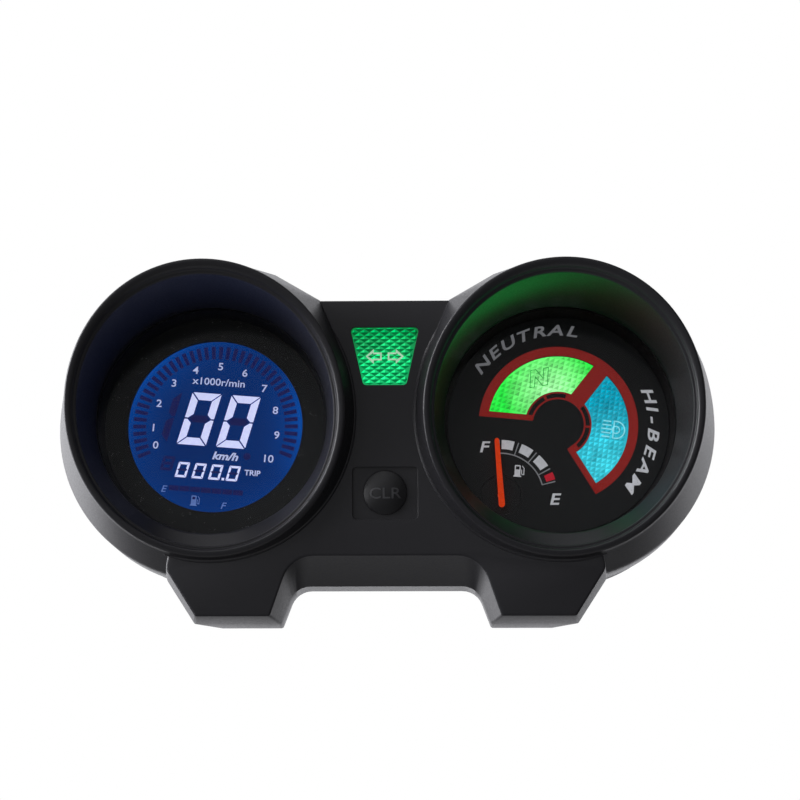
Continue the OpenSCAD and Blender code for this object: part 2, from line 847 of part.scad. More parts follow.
front_cover();
rear_case();
case_seal();
left_lens();
right_lens();
left_lens_seal();
right_lens_seal();
left_dial_mask();
lcd_panel();
lcd_light_guide();
lcd_frame();
lcd_contact_strips();
display_board();
backlight_leds();
display_controller();
display_components();
right_dial_ring();
right_dial_plate();
neutral_lens();
high_beam_lens();
indicator_light_box();
indicator_leds();
indicator_board();
gauge_case();
gauge_bobbin();
gauge_coils();
gauge_magnet();
gauge_shaft();
fuel_needle();
turn_signal_lens();
turn_signal_light_box();
turn_signal_leds();
bridge_board();
reset_button();
button_seal();
reset_switch();
switch_plunger();
left_ribbon();
right_ribbon();
connector_socket();
connector_pins();
connector_lead();
mounting_inserts();
case_screws();
dial_screws();
board_screws();
bridge_board_screws();
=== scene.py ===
import json
import math

import bmesh
import bpy
from mathutils import Matrix, Vector


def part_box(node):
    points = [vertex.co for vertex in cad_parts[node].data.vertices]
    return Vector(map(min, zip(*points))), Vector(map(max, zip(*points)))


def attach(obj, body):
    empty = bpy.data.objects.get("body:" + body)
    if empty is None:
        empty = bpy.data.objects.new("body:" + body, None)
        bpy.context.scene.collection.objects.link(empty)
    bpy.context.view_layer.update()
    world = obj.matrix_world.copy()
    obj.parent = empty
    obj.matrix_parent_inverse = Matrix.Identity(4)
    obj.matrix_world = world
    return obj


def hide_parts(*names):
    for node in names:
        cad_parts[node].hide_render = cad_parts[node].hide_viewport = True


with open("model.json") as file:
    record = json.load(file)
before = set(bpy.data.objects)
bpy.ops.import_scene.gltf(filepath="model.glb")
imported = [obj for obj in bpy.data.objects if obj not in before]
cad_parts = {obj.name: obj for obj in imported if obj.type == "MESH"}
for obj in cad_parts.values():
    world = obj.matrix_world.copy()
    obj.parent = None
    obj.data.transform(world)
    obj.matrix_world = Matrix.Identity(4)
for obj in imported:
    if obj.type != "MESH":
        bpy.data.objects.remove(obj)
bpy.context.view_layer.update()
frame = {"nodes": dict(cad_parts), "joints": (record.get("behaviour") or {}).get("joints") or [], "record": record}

MM = 0.001

# ---- The frame: x right, y up, h towards the rider, all in millimetres from the dial plane ----

lens_low, lens_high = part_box("right_lens")
PLANE_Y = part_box("right_dial_plate")[1].y
CENTRE_Z = (lens_low.z + lens_high.z) / 2
POD_X = (lens_low.x + lens_high.x) / 2 / MM
JOINTS = {j["name"]: j for j in frame["joints"]}
PRESS = JOINTS["reset_button_press"]["axis"]
TILT = math.atan2(PRESS[2], PRESS[1])
PIVOT = JOINTS["fuel_needle_turn"]["pos_m"]
GAUGE_X = PIVOT[0] / MM - POD_X
GAUGE_Y = (PIVOT[2] - CENTRE_Z) / MM
LCD_FRONT = (PLANE_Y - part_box("lcd_panel")[0].y) / MM
DIAL_FRONT = (PLANE_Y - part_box("right_dial_plate")[0].y) / MM
BUTTON_V = -29.5  # the button's centre, along the tilted face
FACE_H = 22.0  # the bridge's face at the height of the dials' centres
PART_LINE = (PLANE_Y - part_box("front_cover")[1].y) / MM


def at(x, y, h):
    """A point of the frame, in metres, from the three distances in millimetres."""
    return Vector((x * MM, PLANE_Y - h * MM, CENTRE_Z + y * MM))


def on_face(x, v, w):
    """A point of the bridge's tilted face: v runs up the face and w stands out of it."""
    return at(x, v * math.cos(TILT) - w * math.sin(TILT),
              FACE_H + v * math.sin(TILT) + w * math.cos(TILT))


def left_dial(x, y, h):
    return at(x - POD_X, y, h)


def right_dial(x, y, h):
    return at(x + POD_X, y, h)


def fuel_dial(x, y, h):
    return right_dial(x + GAUGE_X, y + GAUGE_Y, h)


def moved(to, dx, dy, degrees=0):
    """The plane of to, with its origin at dx, dy and its axes turned."""
    c, s = math.cos(math.radians(degrees)), math.sin(math.radians(degrees))
    return lambda x, y, h: to(dx + x * c - y * s, dy + x * s + y * c, h)


def rotated(points, degrees):
    c, s = math.cos(math.radians(degrees)), math.sin(math.radians(degrees))
    return [(x * c - y * s, x * s + y * c) for x, y in points]


# ---- Materials ----

MIX_FROM, MIX_TO, MIX_RESULT = 6, 7, 2  # the colour sockets of a Mix node
SPECK_COLOUR = (0.30, 0.29, 0.31)


def nodes_of(name):
    """A new material with its node tree and its Principled node."""
    m = bpy.data.materials.new(name)
    m.use_nodes = True
    tree = m.node_tree
    return m, tree, tree.nodes["Principled BSDF"]


def link(tree, a, b):
    tree.links.new(a, b)


def coords(tree):
    return tree.nodes.new("ShaderNodeTexCoord").outputs["Object"]


def noise(tree, scale, detail=2.0, rough=0.5):
    n = tree.nodes.new("ShaderNodeTexNoise")
    n.inputs["Scale"].default_value = scale
    n.inputs["Detail"].default_value = detail
    n.inputs["Roughness"].default_value = rough
    link(tree, coords(tree), n.inputs["Vector"])
    return n.outputs["Fac"]


def remap(tree, value, a, b, lo, hi):
    """The value's span from a to b, stretched to run from lo to hi and held there."""
    n = tree.nodes.new("ShaderNodeMapRange")
    n.inputs["From Min"].default_value = a
    n.inputs["From Max"].default_value = b
    n.inputs["To Min"].default_value = lo
    n.inputs["To Max"].default_value = hi
    link(tree, value, n.inputs["Value"])
    return n.outputs["Result"]


def maths(tree, op, a, b=None):
    n = tree.nodes.new("ShaderNodeMath")
    n.operation = op
    for socket, value in zip(n.inputs, (a, b)):
        if value is None:
            continue
        if isinstance(value, (int, float)):
            socket.default_value = value
        else:
            link(tree, value, socket)
    return n.outputs[0]


def blend_colour(tree, fac, a, b):
    """Mix of two colours, each given as three numbers or as a node's output."""
    n = tree.nodes.new("ShaderNodeMix")
    n.data_type = "RGBA"
    link(tree, fac, n.inputs[0])
    for socket, colour in ((n.inputs[MIX_FROM], a), (n.inputs[MIX_TO], b)):
        if isinstance(colour, tuple):
            socket.default_value = (*colour, 1)
        else:
            link(tree, colour, socket)
    return n.outputs[MIX_RESULT]


def bumped(tree, bsdf, height, strength, distance, edge=0.0):
    """Relief for the surface, in millimetres, with its edges rounded off by the radius edge."""
    n = tree.nodes.new("ShaderNodeBump")
    n.inputs["Strength"].default_value = strength
    n.inputs["Distance"].default_value = distance * MM
    link(tree, height, n.inputs["Height"])
    if edge:
        e = tree.nodes.new("ShaderNodeBevel")
        e.samples = 4
        e.inputs["Radius"].default_value = edge * MM
        link(tree, e.outputs["Normal"], n.inputs["Normal"])
    link(tree, n.outputs["Normal"], bsdf.inputs["Normal"])


def moulded(name, colour, rough, grain=900.0, strength=0.25, edge=0.0, spec=0.5, speck=0.0,
            uneven=1.25):
    """Moulded plastic: fine spark-eroded grain, slightly uneven gloss and tone, pale specks."""
    m, tree, bsdf = nodes_of(name)
    fine = noise(tree, grain, 3.0, 0.6)
    broad = noise(tree, 35.0, 3.0)
    mixed = blend_colour(tree, broad, colour, tuple(c * uneven for c in colour))
    if speck:
        v = tree.nodes.new("ShaderNodeTexVoronoi")
        v.inputs["Scale"].default_value = 1100.0
        link(tree, coords(tree), v.inputs["Vector"])
        dots = remap(tree, v.outputs["Distance"], 0.12, 0.22, 1.0, 0.0)
        rare = remap(tree, noise(tree, 420.0), 0.56, 0.62, 0.0, 1.0)
        fac = maths(tree, "MULTIPLY", maths(tree, "MULTIPLY", dots, rare), speck)
        mixed = blend_colour(tree, fac, mixed, SPECK_COLOUR)
    link(tree, mixed, bsdf.inputs["Base Color"])
    gloss = remap(tree, fine, 0.3, 0.7, rough - 0.06, rough + 0.08)
    link(tree, gloss, bsdf.inputs["Roughness"])
    bsdf.inputs["Specular IOR Level"].default_value = spec
    bumped(tree, bsdf, fine, strength, 0.12, edge)
    return m


def metal(name, colour, rough):
    m, tree, bsdf = nodes_of(name)
    bsdf.inputs["Base Color"].default_value = (*colour, 1)
    bsdf.inputs["Metallic"].default_value = 1.0
    streaks = noise(tree, 600.0, 4.0)
    gloss = remap(tree, streaks, 0.3, 0.7, rough * 0.7, rough * 1.3)
    link(tree, gloss, bsdf.inputs["Roughness"])
    bumped(tree, bsdf, streaks, 0.15, 0.05)
    return m


def glowing(name, colour, strength, dim=0.8):
    """Printed or lit mark: the colour glows a little unevenly."""
    m, tree, bsdf = nodes_of(name)
    grain = noise(tree, 700.0, 2.0)
    shade = tuple(c * dim for c in colour)
    mixed = blend_colour(tree, remap(tree, grain, 0.35, 0.65, 0.0, 1.0), shade, colour)
    bsdf.inputs["Base Color"].default_value = (*[c * 0.6 for c in colour], 1)
    bsdf.inputs["Roughness"].default_value = 0.6
    bsdf.inputs["Specular IOR Level"].default_value = 0.15
    link(tree, mixed, bsdf.inputs["Emission Color"])
    bsdf.inputs["Emission Strength"].default_value = strength
    return m


def distance_from(tree, point, radius):
    """0 at the point, 1 at the radius (millimetres) and beyond."""
    n = tree.nodes.new("ShaderNodeVectorMath")
    n.operation = "DISTANCE"
    link(tree, coords(tree), n.inputs[0])
    n.inputs[1].default_value = point
    return remap(tree, n.outputs["Value"], 0.0, radius * MM, 0.0, 1.0)


def facet_light(tree, direction):
    """Painted light and shade on a lens's facets: how squarely each flat facet faces one fixed direction."""
    n = tree.nodes.new("ShaderNodeVectorMath")
    n.operation = "DOT_PRODUCT"
    link(tree, tree.nodes.new("ShaderNodeNewGeometry").outputs["True Normal"], n.inputs[0])
    n.inputs[1].default_value = Vector(direction).normalized()
    return n.outputs["Value"]


def prismatic(name, hot, cool, spot, reach, strength, painted_facet_contrast):
    """Lit prismatic lens: hot near its lamp, each prism with its own brightness, and painted light and shade on
    each facet after how it faces one fixed direction.

    Other surfaces see only a little of its light, so that it doesn't flood the hood."""
    m, tree, bsdf = nodes_of(name)
    colour = blend_colour(tree, distance_from(tree, spot, reach), hot, cool)
    geometry = tree.nodes.new("ShaderNodeNewGeometry")
    prism = remap(tree, geometry.outputs["Random Per Island"], 0.0, 1.0, 0.78, 1.25)
    # Painted highlight and shade: a facet glows brighter the more squarely it faces this fixed direction, dimmer
    # the less.
    facing_painted_light = facet_light(tree, (-0.5, -0.62, 0.6))
    facet = remap(tree, facing_painted_light, 0.35, 0.95, 1.0 - painted_facet_contrast, 1.0 + painted_facet_contrast)
    cloud = remap(tree, noise(tree, 160.0, 3.0), 0.3, 0.7, 0.8, 1.2)
    power = maths(tree, "MULTIPLY", maths(tree, "MULTIPLY", prism, facet), cloud)
    seen = tree.nodes.new("ShaderNodeLightPath").outputs["Is Camera Ray"]
    power = maths(tree, "MULTIPLY", power, remap(tree, seen, 0.0, 1.0, 0.12, 1.0))
    link(tree, colour, bsdf.inputs["Emission Color"])
    link(tree, maths(tree, "MULTIPLY", power, strength), bsdf.inputs["Emission Strength"])
    bsdf.inputs["Base Color"].default_value = (*[c * 0.5 for c in cool], 1)
    bsdf.inputs["Roughness"].default_value = 0.12
    bumped(tree, bsdf, noise(tree, 500.0, 3.0), 0.2, 0.1)
    return m


def clear(name):
    """Clear lens: see-through, with a weak slightly smeared reflection."""
    m, tree, bsdf = nodes_of(name)
    tree.nodes.remove(bsdf)
    seen = tree.nodes.new("ShaderNodeBsdfTransparent")
    seen.inputs["Color"].default_value = (0.97, 0.98, 0.98, 1)
    gloss = tree.nodes.new("ShaderNodeBsdfGlossy")
    smear = remap(tree, noise(tree, 60.0, 4.0), 0.3, 0.7, 0.02, 0.07)
    link(tree, smear, gloss.inputs["Roughness"])
    fresnel = tree.nodes.new("ShaderNodeFresnel")
    fresnel.inputs["IOR"].default_value = 1.35
    mix = tree.nodes.new("ShaderNodeMixShader")
    link(tree, maths(tree, "MULTIPLY", fresnel.outputs[0], 0.35), mix.inputs[0])
    link(tree, seen.outputs[0], mix.inputs[1])
    link(tree, gloss.outputs[0], mix.inputs[2])
    link(tree, mix.outputs[0], tree.nodes["Material Output"].inputs["Surface"])
    return m


def lcd_blue(name):
    """Backlit negative LCD: deep blue, brighter towards its upper left and right edges."""
    m, tree, bsdf = nodes_of(name)
    edge = distance_from(tree, left_dial(0, 0, LCD_FRONT), 34.0)
    edge = maths(tree, "POWER", edge, 3.2)
    left = distance_from(tree, left_dial(-30, 26, LCD_FRONT), 44.0)
    left = remap(tree, left, 0.0, 1.0, 1.0, 0.25)
    right = distance_from(tree, left_dial(34, 2, LCD_FRONT), 24.0)
    right = remap(tree, right, 0.0, 1.0, 1.0, 0.0)
    fac = maths(tree, "MULTIPLY", edge, maths(tree, "ADD", left, right))
    cloud = remap(tree, noise(tree, 45.0, 3.0), 0.3, 0.7, 0.0, 0.10)
    colour = blend_colour(tree, maths(tree, "ADD", fac, cloud), (0.0, 0.0165, 0.108),
                          (0.0, 0.060, 0.33))
    seen = tree.nodes.new("ShaderNodeLightPath").outputs["Is Camera Ray"]
    link(tree, colour, bsdf.inputs["Emission Color"])
    link(tree, remap(tree, seen, 0.0, 1.0, 0.35, 0.95), bsdf.inputs["Emission Strength"])
    bsdf.inputs["Base Color"].default_value = (0.0, 0.005, 0.03, 1)
    bsdf.inputs["Roughness"].default_value = 0.5
    bsdf.inputs["Specular IOR Level"].default_value = 0.1
    return m


BLACK = moulded("cover_plastic_fine_grain", (0.0190, 0.0187, 0.0212), 0.38, 1500.0, 0.3, 0.3)
CASE = moulded("case_plastic_grain", (0.0180, 0.0178, 0.0200), 0.5, 1000.0, 0.35, 0.5)
DIAL = moulded("dial_plastic_satin", (0.0090, 0.0088, 0.0090), 0.58, 1700.0, 0.25,
               spec=0.35, speck=0.5)
PRINTED = moulded("dial_sheet_black", (0.0065, 0.0066, 0.0070), 0.5, 1400.0, 0.12, spec=0.35)
BUTTON = moulded("button_cap", (0.0120, 0.0120, 0.0130), 0.42, 1300.0, 0.3, 0.4)
BUTTON_INK = moulded("button_letters", (0.055, 0.055, 0.058), 0.4, 1300.0, 0.2)
RUBBER = moulded("rubber_seal", (0.012, 0.012, 0.012), 0.75, 900.0, 0.4)
WHITE = moulded("white_moulding", (0.78, 0.78, 0.75), 0.5, 500.0, 0.1)
BOARD = moulded("circuit_board", (0.02, 0.16, 0.06), 0.35, 300.0, 0.2)
CHIP = moulded("chip_package", (0.02, 0.02, 0.022), 0.45, 700.0, 0.2)
SLEEVE = moulded("component_sleeve", (0.04, 0.06, 0.25), 0.35, 400.0, 0.1)
CREAM = moulded("natural_moulding", (0.70, 0.66, 0.54), 0.5, 400.0, 0.15)
CABLE = moulded("cable_sheath", (0.30, 0.30, 0.32), 0.5, 300.0, 0.3)
STEEL = metal("zinc_plated_steel", (0.60, 0.60, 0.63), 0.35)
BRASS = metal("knurled_brass", (0.62, 0.46, 0.17), 0.35)
COPPER = metal("enamelled_copper", (0.60, 0.24, 0.10), 0.3)
IRON = metal("bonded_magnet", (0.20, 0.20, 0.21), 0.6)
CLEAR = clear("clear_acrylic")
LCD = lcd_blue("lcd_negative_blue")
LCD_LIT = glowing("lcd_lit_segments", (0.62, 0.64, 0.95), 1.0, 0.9)
LCD_PRINT = glowing("lcd_printed_marks", (0.52, 0.56, 0.82), 0.8)
LCD_DIM = glowing("lcd_dim_marks", (0.12, 0.20, 0.50), 0.75)
LCD_GHOST = glowing("lcd_unlit_segments", (0.009, 0.011, 0.085), 0.9, 0.75)
PRINT_WHITE = glowing("print_white", (0.72, 0.72, 0.76), 0.45)
PRINT_GREY = glowing("print_grey", (0.30, 0.30, 0.32), 0.45)
PRINT_DIM = glowing("print_dark_grey", (0.085, 0.085, 0.09), 0.7)
PRINT_RED = glowing("print_red", (0.215, 0.014, 0.012), 0.85)
PRINT_HOT = glowing("print_red_block", (0.50, 0.015, 0.030), 0.7)
NEEDLE = glowing("needle_fluorescent", (0.80, 0.050, 0.005), 0.62)
LAMP = glowing("lamp_package", (0.9, 0.88, 0.75), 0.6)
GREEN = prismatic("neutral_prisms", (0.42, 1.0, 0.42), (0.018, 0.82, 0.055),
                  right_dial(-3, 13, 1), 18.0, 1.0, 0.3)
BLUE = prismatic("high_beam_prisms", (0.05, 0.66, 0.78), (0.0, 0.33, 0.47),
                 right_dial(18, -17, 1), 26.0, 1.0, 0.28)
# The turn-signal window fades from bright at its bottom to dark at its top: partly the lamp's falloff, partly
# painted shadow of the recess above the window.
SIGNAL = prismatic("turn_signal_prisms", (0.004, 0.90, 0.27), (0.0, 0.30, 0.065),
                   on_face(0, 13, -2), 22.0, 0.95, 0.75)
ARROW = glowing("arrow_outline", (0.42, 0.66, 0.46), 0.9)
MARK = glowing("window_mark_outline", (0.03, 0.36, 0.06), 0.9)
BEAM = glowing("beam_mark_outline", (0.20, 0.60, 0.68), 1.1)

# ---- Meshes ----

HOUSING = "housing"


def finished(name, bm, material, body=None, angle=30.0):
    """The mesh as an object, riding on a body unless it is only a tool or part of the stage."""
    bmesh.ops.recalc_face_normals(bm, faces=bm.faces)
    mesh = bpy.data.meshes.new(name)
    bm.to_mesh(mesh)
    bm.free()
    for p in mesh.polygons:
        p.use_smooth = True
    mesh.set_sharp_from_angle(angle=math.radians(angle))
    mesh.materials.append(material)
    obj = bpy.data.objects.new(name, mesh)
    bpy.context.scene.collection.objects.link(obj)
    if body:
        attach(obj, body)
    return obj


def add_prism(bm, outline, back, front, to):
    """Straight closed prism over an outline."""
    low = [bm.verts.new(to(x, y, back)) for x, y in outline]
    high = [bm.verts.new(to(x, y, front)) for x, y in outline]
    n = len(outline)
    bm.faces.new(low[::-1])
    bm.faces.new(high)
    for i in range(n):
        bm.faces.new((low[i], low[(i + 1) % n], high[(i + 1) % n], high[i]))


def prisms(name, outlines, back, front, to, material):
    bm = bmesh.new()
    for outline in outlines:
        add_prism(bm, outline, back, front, to)
    return finished(name, bm, material, HOUSING)


def loft(name, rings, looped):
    """Skin over rings of equal length, closed into a tube's loop or capped at both ends."""
    bm = bmesh.new()
    rows = [[bm.verts.new(at(*p)) for p in r] for r in rings]
    pairs = list(zip(rows, rows[1:]))
    if looped:
        pairs.append((rows[-1], rows[0]))
    else:
        bm.faces.new(rows[0][::-1])
        bm.faces.new(rows[-1])
    n = len(rows[0])
    for a, b in pairs:
        for i in range(n):
            bm.faces.new((a[i], a[(i + 1) % n], b[(i + 1) % n], b[i]))
    return finished(name, bm, BLACK)


def cut(target, tool, operation):
    """Boolean, done with one unit to the millimetre so that no small face is lost."""
    for o in (target, tool):
        o.data.transform(Matrix.Scale(1000, 4))
    mod = target.modifiers.new("join", "BOOLEAN")
    mod.operation = operation
    mod.solver = "MANIFOLD"
    mod.object = tool
    bpy.context.view_layer.update()
    done = bpy.data.meshes.new_from_object(
        target.evaluated_get(bpy.context.evaluated_depsgraph_get()))
    target.modifiers.clear()
    target.data = done
    target.data.transform(Matrix.Scale(MM, 4))
    bpy.data.objects.remove(tool)


RING_POINTS = 160


def ring(cx, r, yc, a, b):
    """Circle seen from the front, on a plane whose height is a + b y."""
    out = []
    for i in range(RING_POINTS):
        p = 2 * math.pi * i / RING_POINTS
        y = yc + r * math.sin(p)
        out.append((cx + r * math.cos(p), y, a + b * y))
    return out


def between(p, q, t):
    """The ring that lies the share t of the way from ring p to ring q."""
    return [tuple(u + (v - u) * t for u, v in zip(a, b)) for a, b in zip(p, q)]


def sector(r0, r1, a0, a1, steps):
    """Piece of a flat ring between two radii and two angles."""
    angles = [math.radians(a0 + (a1 - a0) * i / steps) for i in range(steps + 1)]
    outer = [(r1 * math.cos(a), r1 * math.sin(a)) for a in angles]
    return outer + [(r0 * math.cos(a), r0 * math.sin(a)) for a in reversed(angles)]


def circle(r, n):
    return [(r * math.cos(2 * math.pi * i / n), r * math.sin(2 * math.pi * i / n))
            for i in range(n)]


def box_outline(w, h, x, y):
    """Rectangle of width w and height h with its middle at x, y."""
    return [(x - w / 2, y - h / 2), (x + w / 2, y - h / 2), (x + w / 2, y + h / 2),
            (x - w / 2, y + h / 2)]


def rounded(corners, radii, n=6):
    """Outline with each corner replaced by an arc of its radius."""
    out = []
    for i, (corner, r) in enumerate(zip(corners, radii)):
        b = Vector(corner)
        u = (Vector(corners[i - 1]) - b).normalized()
        v = (Vector(corners[(i + 1) % len(corners)]) - b).normalized()
        half = math.acos(max(-1, min(1, u.dot(v)))) / 2
        mid = b + (u + v).normalized() * r / math.sin(half)
        start = b + u * r / math.tan(half) - mid
        stop = b + v * r / math.tan(half) - mid
        way = 1 if start.x * stop.y - start.y * stop.x > 0 else -1
        for k in range(n + 1):
            s = way * (math.pi - 2 * half) * k / n
            out.append((mid.x + start.x * math.cos(s) - start.y * math.sin(s),
                        mid.y + start.x * math.sin(s) + start.y * math.cos(s)))
    return out


def offset(corners, t):
    """Closed outline moved inwards by t, edge by edge; its corners run clockwise."""
    out = []
    n = len(corners)
    for i in range(n):
        a, b, c = (Vector(corners[(i + k) % n]) for k in (-1, 0, 1))
        d1, d2 = (b - a).normalized(), (c - b).normalized()
        n1, n2 = Vector((d1.y, -d1.x)), Vector((d2.y, -d2.x))
        m = (n1 + n2).normalized()
        out.append(tuple(b + m * t / max(0.2, m.dot(n1))))
    return out


CAP_SHARE = 0.73  # how much of the font's size its capitals take up


def text_mesh(text, size, italic, weight):
    """Generic lettering as a closed solid, in millimetres, 1 mm thick, with capitals of a size."""
    curve = bpy.data.curves.new("letters", "FONT")
    curve.body = text
    curve.size = size / CAP_SHARE
    curve.shear = italic
    curve.offset = weight
    curve.extrude = 0.5
    curve.resolution_u = 3
    curve.align_x = "CENTER"
    obj = bpy.data.objects.new("letters", curve)
    bpy.context.scene.collection.objects.link(obj)
    bpy.context.view_layer.update()
    mesh = bpy.data.meshes.new_from_object(
        obj.evaluated_get(bpy.context.evaluated_depsgraph_get()))
    bpy.data.objects.remove(obj)
    bm = bmesh.new()
    bm.from_mesh(mesh)
    bmesh.ops.remove_doubles(bm, verts=bm.verts, dist=0.0005 * size)
    bmesh.ops.dissolve_degenerate(bm, edges=bm.edges, dist=0.0005 * size)
    return bm


def lettering(name, words, back, front, material):
    """One piece made of several words: (text, cap height, stretch, italic, weight, place)."""
    whole = bmesh.new()
    for text, size, stretch, italic, weight, to in words:
        bm = text_mesh(text, size, italic, weight)
        for v in bm.verts:
            v.co = to(v.co.x * stretch, v.co.y - size / 2, back + (v.co.z + 0.5) * (front - back))
        mesh = bpy.data.meshes.new("word")
        bm.to_mesh(mesh)
        bm.free()
        whole.from_mesh(mesh)
    return finished(name, whole, material, HOUSING)


def arc_words(text, radius, start, stop, size, stretch, italic, weight, to):
    """Letters along an arc, their feet towards the centre, spaced by their widths."""
    wide = {"I": 0.55, "-": 0.75, "M": 1.25}
    widths = [wide.get(c, 1.0) for c in text]
    marks = [sum(widths[:i]) + widths[i] / 2 for i in range(len(text))]
    span = marks[-1] - marks[0]
    words = []
    for c, m in zip(text, marks):
        a = start + (stop - start) * (m - marks[0]) / span
        x, y = radius * math.cos(math.radians(a)), radius * math.sin(math.radians(a))
        place = moved(to, x, y, a - 90)
        words.append((c, size, stretch, italic, weight, place))
    return words


# ---- Cover: two lofted hoods joined to the bridge and its feet ----

# Inner and outer edge of a hood's rim: radius, centre's height, then the tilted plane's two numbers
INNER = (47.0, -1.7, 35.5, 0.374)
OUTER = (51.5, -1.4, 35.65, 0.392)
# Section of the rim, from outside to inside: radius and how far it lies below the rim's plane
BEAD = ((51.5, 1.4), (51.46, 0.9), (51.33, 0.5), (51.1, 0.22), (50.8, 0.06), (50.4, 0.0),
        (49.8, 0.0), (49.2, 0.12), (48.8, 0.4), (48.5, 0.85), (48.3, 1.35), (48.1, 1.55),
        (47.7, 1.6), (47.4, 1.64), (47.18, 1.78), (47.05, 2.1), (46.98, 2.7))
BASE_R = 59.4
HOOD_SHIFT = 3.2
OPEN_R = 43.6
OPEN_Y = -0.3
SEAT_H = 12.84
LENS_SEAT_H = 10.9
DIAL_SEAT_H = 4.0
HOOD_WALL = 2.5
BORE_TOOL_R = 50.5
BORE_TOOL_BACK, BORE_TOOL_FRONT = -40, 70


def lip_ring(cx, r, drop):
    """Ring of the rim at a radius, sunk below the rim's plane by drop."""
    f = (r - INNER[0]) / (OUTER[0] - INNER[0])
    yc, a, b = (INNER[k] + (OUTER[k] - INNER[k]) * f for k in (1, 2, 3))
    return ring(cx, r, yc, a - drop, b)


def base_ring(cx, h=0.0, inset=0.0):
    """Foot of the hood: a circle below, the same circle moved up by the flare's shift above."""
    out = []
    for x, y, _ in ring(0, BASE_R - inset, 0, 0, 0):
        out.append((cx + x, y + HOOD_SHIFT * min(1.0, max(0.0, y / 20.0)), h))
    return out


def hood(cx):
    """A hood as one closed skin: flared wall, rim, bore, then the seats for lens and dial."""
    base = base_ring(cx)
    lips = [lip_ring(cx, r, drop) for r, drop in BEAD]
    opening = ring(cx, OPEN_R, OPEN_Y, SEAT_H, 0)
    rings = [base_ring(cx, PART_LINE), base_ring(cx, PART_LINE / 2)]
    rings += [between(base, lips[0], t / 14) for t in range(14)]
    rings += lips
    rings += [between(lips[-1], opening, t / 12) for t in range(1, 12)]
    rings += [opening, ring(cx, OPEN_R - 0.05, -0.1, SEAT_H - 0.3, 0),
              ring(cx, OPEN_R - 0.05, 0, LENS_SEAT_H, 0), ring(cx, 45.8, 0, LENS_SEAT_H, 0),
              ring(cx, 45.8, 0, DIAL_SEAT_H, 0), ring(cx, 55.0, 0, DIAL_SEAT_H, 0),
              base_ring(cx, -2.0, HOOD_WALL), base_ring(cx, PART_LINE, HOOD_WALL)]
    return loft("tool", rings, True)


# Right half of the bridge and foot, from the top clockwise: front face, bevel, and parting line
FACE = [(24.1, 41.1), (38.0, 47.0), (64, 40), (81.5, -56.5), (70.5, -73.8), (42.7, -73.8),
        (34.9, -52)]
BEVEL = [(24.4, 41.4), (38.5, 48.0), (64, 40), (83, -58.3), (71.7, -75.5), (39.3, -75.6),
         (34, -61.5)]
TAIL = [(24.4, 41.4), (38.5, 48.0), (64, 40), (74.5, -58.3), (63.3, -75.6), (39.6, -75.6),
        (34.3, -61.5)]
RADII = [0.8, 6, 4, 4, 1.2, 1.2, 12]
REAR_RADII = [0.8, 6, 4, 4, 1.2, 1.2, 8]


def face_depth(y):
    return FACE_H + math.tan(TILT) * y


def outline(corners, radii, inset):
    """Both halves of an outline, moved inwards by inset, with round corners."""
    whole = corners + [(-x, y) for x, y in reversed(corners)]
    return rounded(offset(whole, inset), [max(0.3, r - inset * 0.4) for r in radii + radii[::-1]])


def block(name, inset, back, edge):
    """Bridge and feet from the face to the parting line, everything moved inwards by inset.

    With edge, the front edge is rounded off in steps of (how far in, how far down)."""
    steps = ((0.9, 0.0), (0.45, 0.1), (0.15, 0.35), (0.0, 0.9)) if edge else ((0.0, 0.0),)
    rings = [[(x, y, face_depth(y) - drop - inset) for x, y in outline(FACE, RADII, inset + e)]
             for e, drop in steps]
    rear = [(x, y, -2.0) for x, y in outline(BEVEL, REAR_RADII, inset)]
    tail = [(x, y, back) for x, y in outline(TAIL, REAR_RADII, inset)]
    rings += [rear, tail]
    return loft(name, rings, False)


def tool_prism(pts, back, front, to):
    bm = bmesh.new()
    add_prism(bm, pts, back, front, to)
    return finished("tool", bm, BLACK)


def bore_tool(cx):
    """Cylinder that clears a hood's inside."""
    pts = [(x + cx, y) for x, y in circle(BORE_TOOL_R, 96)]
    return tool_prism(pts, BORE_TOOL_BACK, BORE_TOOL_FRONT, at)


def fairing(side):
    """Smooth skin from the hood's wall to the bridge's top corner: the hull of both."""
    cx = side * POD_X
    lip, base = lip_ring(cx, *BEAD[0]), base_ring(cx)
    pts = []
    for t in (0.02, 0.2, 0.4, 0.6, 0.8, 1.0):
        for k, p in enumerate(between(lip, base, t)):
            turn = math.degrees(math.atan2(p[1], -side * (p[0] - cx)))
            if 2 < turn < 120 and k % 2 == 0:
                pts.append((cx + (p[0] - cx) * 0.999, p[1] * 0.999, p[2] - 0.02))
    pts += [(cx - side * 2, 2, 0), (cx - side * 2, 2, 30)]
    pts += [(side * 24.0, 41.1, 29.6), (side * 24.4, 41.4, 0), (side * 40.6, 50.6, 31.0)]
    bm = bmesh.new()
    for p in pts:
        bm.verts.new(at(*p))
    bmesh.ops.convex_hull(bm, input=bm.verts)
    loose = [v for v in bm.verts if not v.link_faces]
    bmesh.ops.delete(bm, geom=loose, context="VERTS")
    skin = finished("tool", bm, BLACK)
    cut(skin, bore_tool(cx), "DIFFERENCE")
    return skin


CREASE_START, CREASE_STOP = -108, 46  # angles round the hood, 0 towards the bridge
CREASE_FADE = 12  # the bead thins out over this angle at both ends


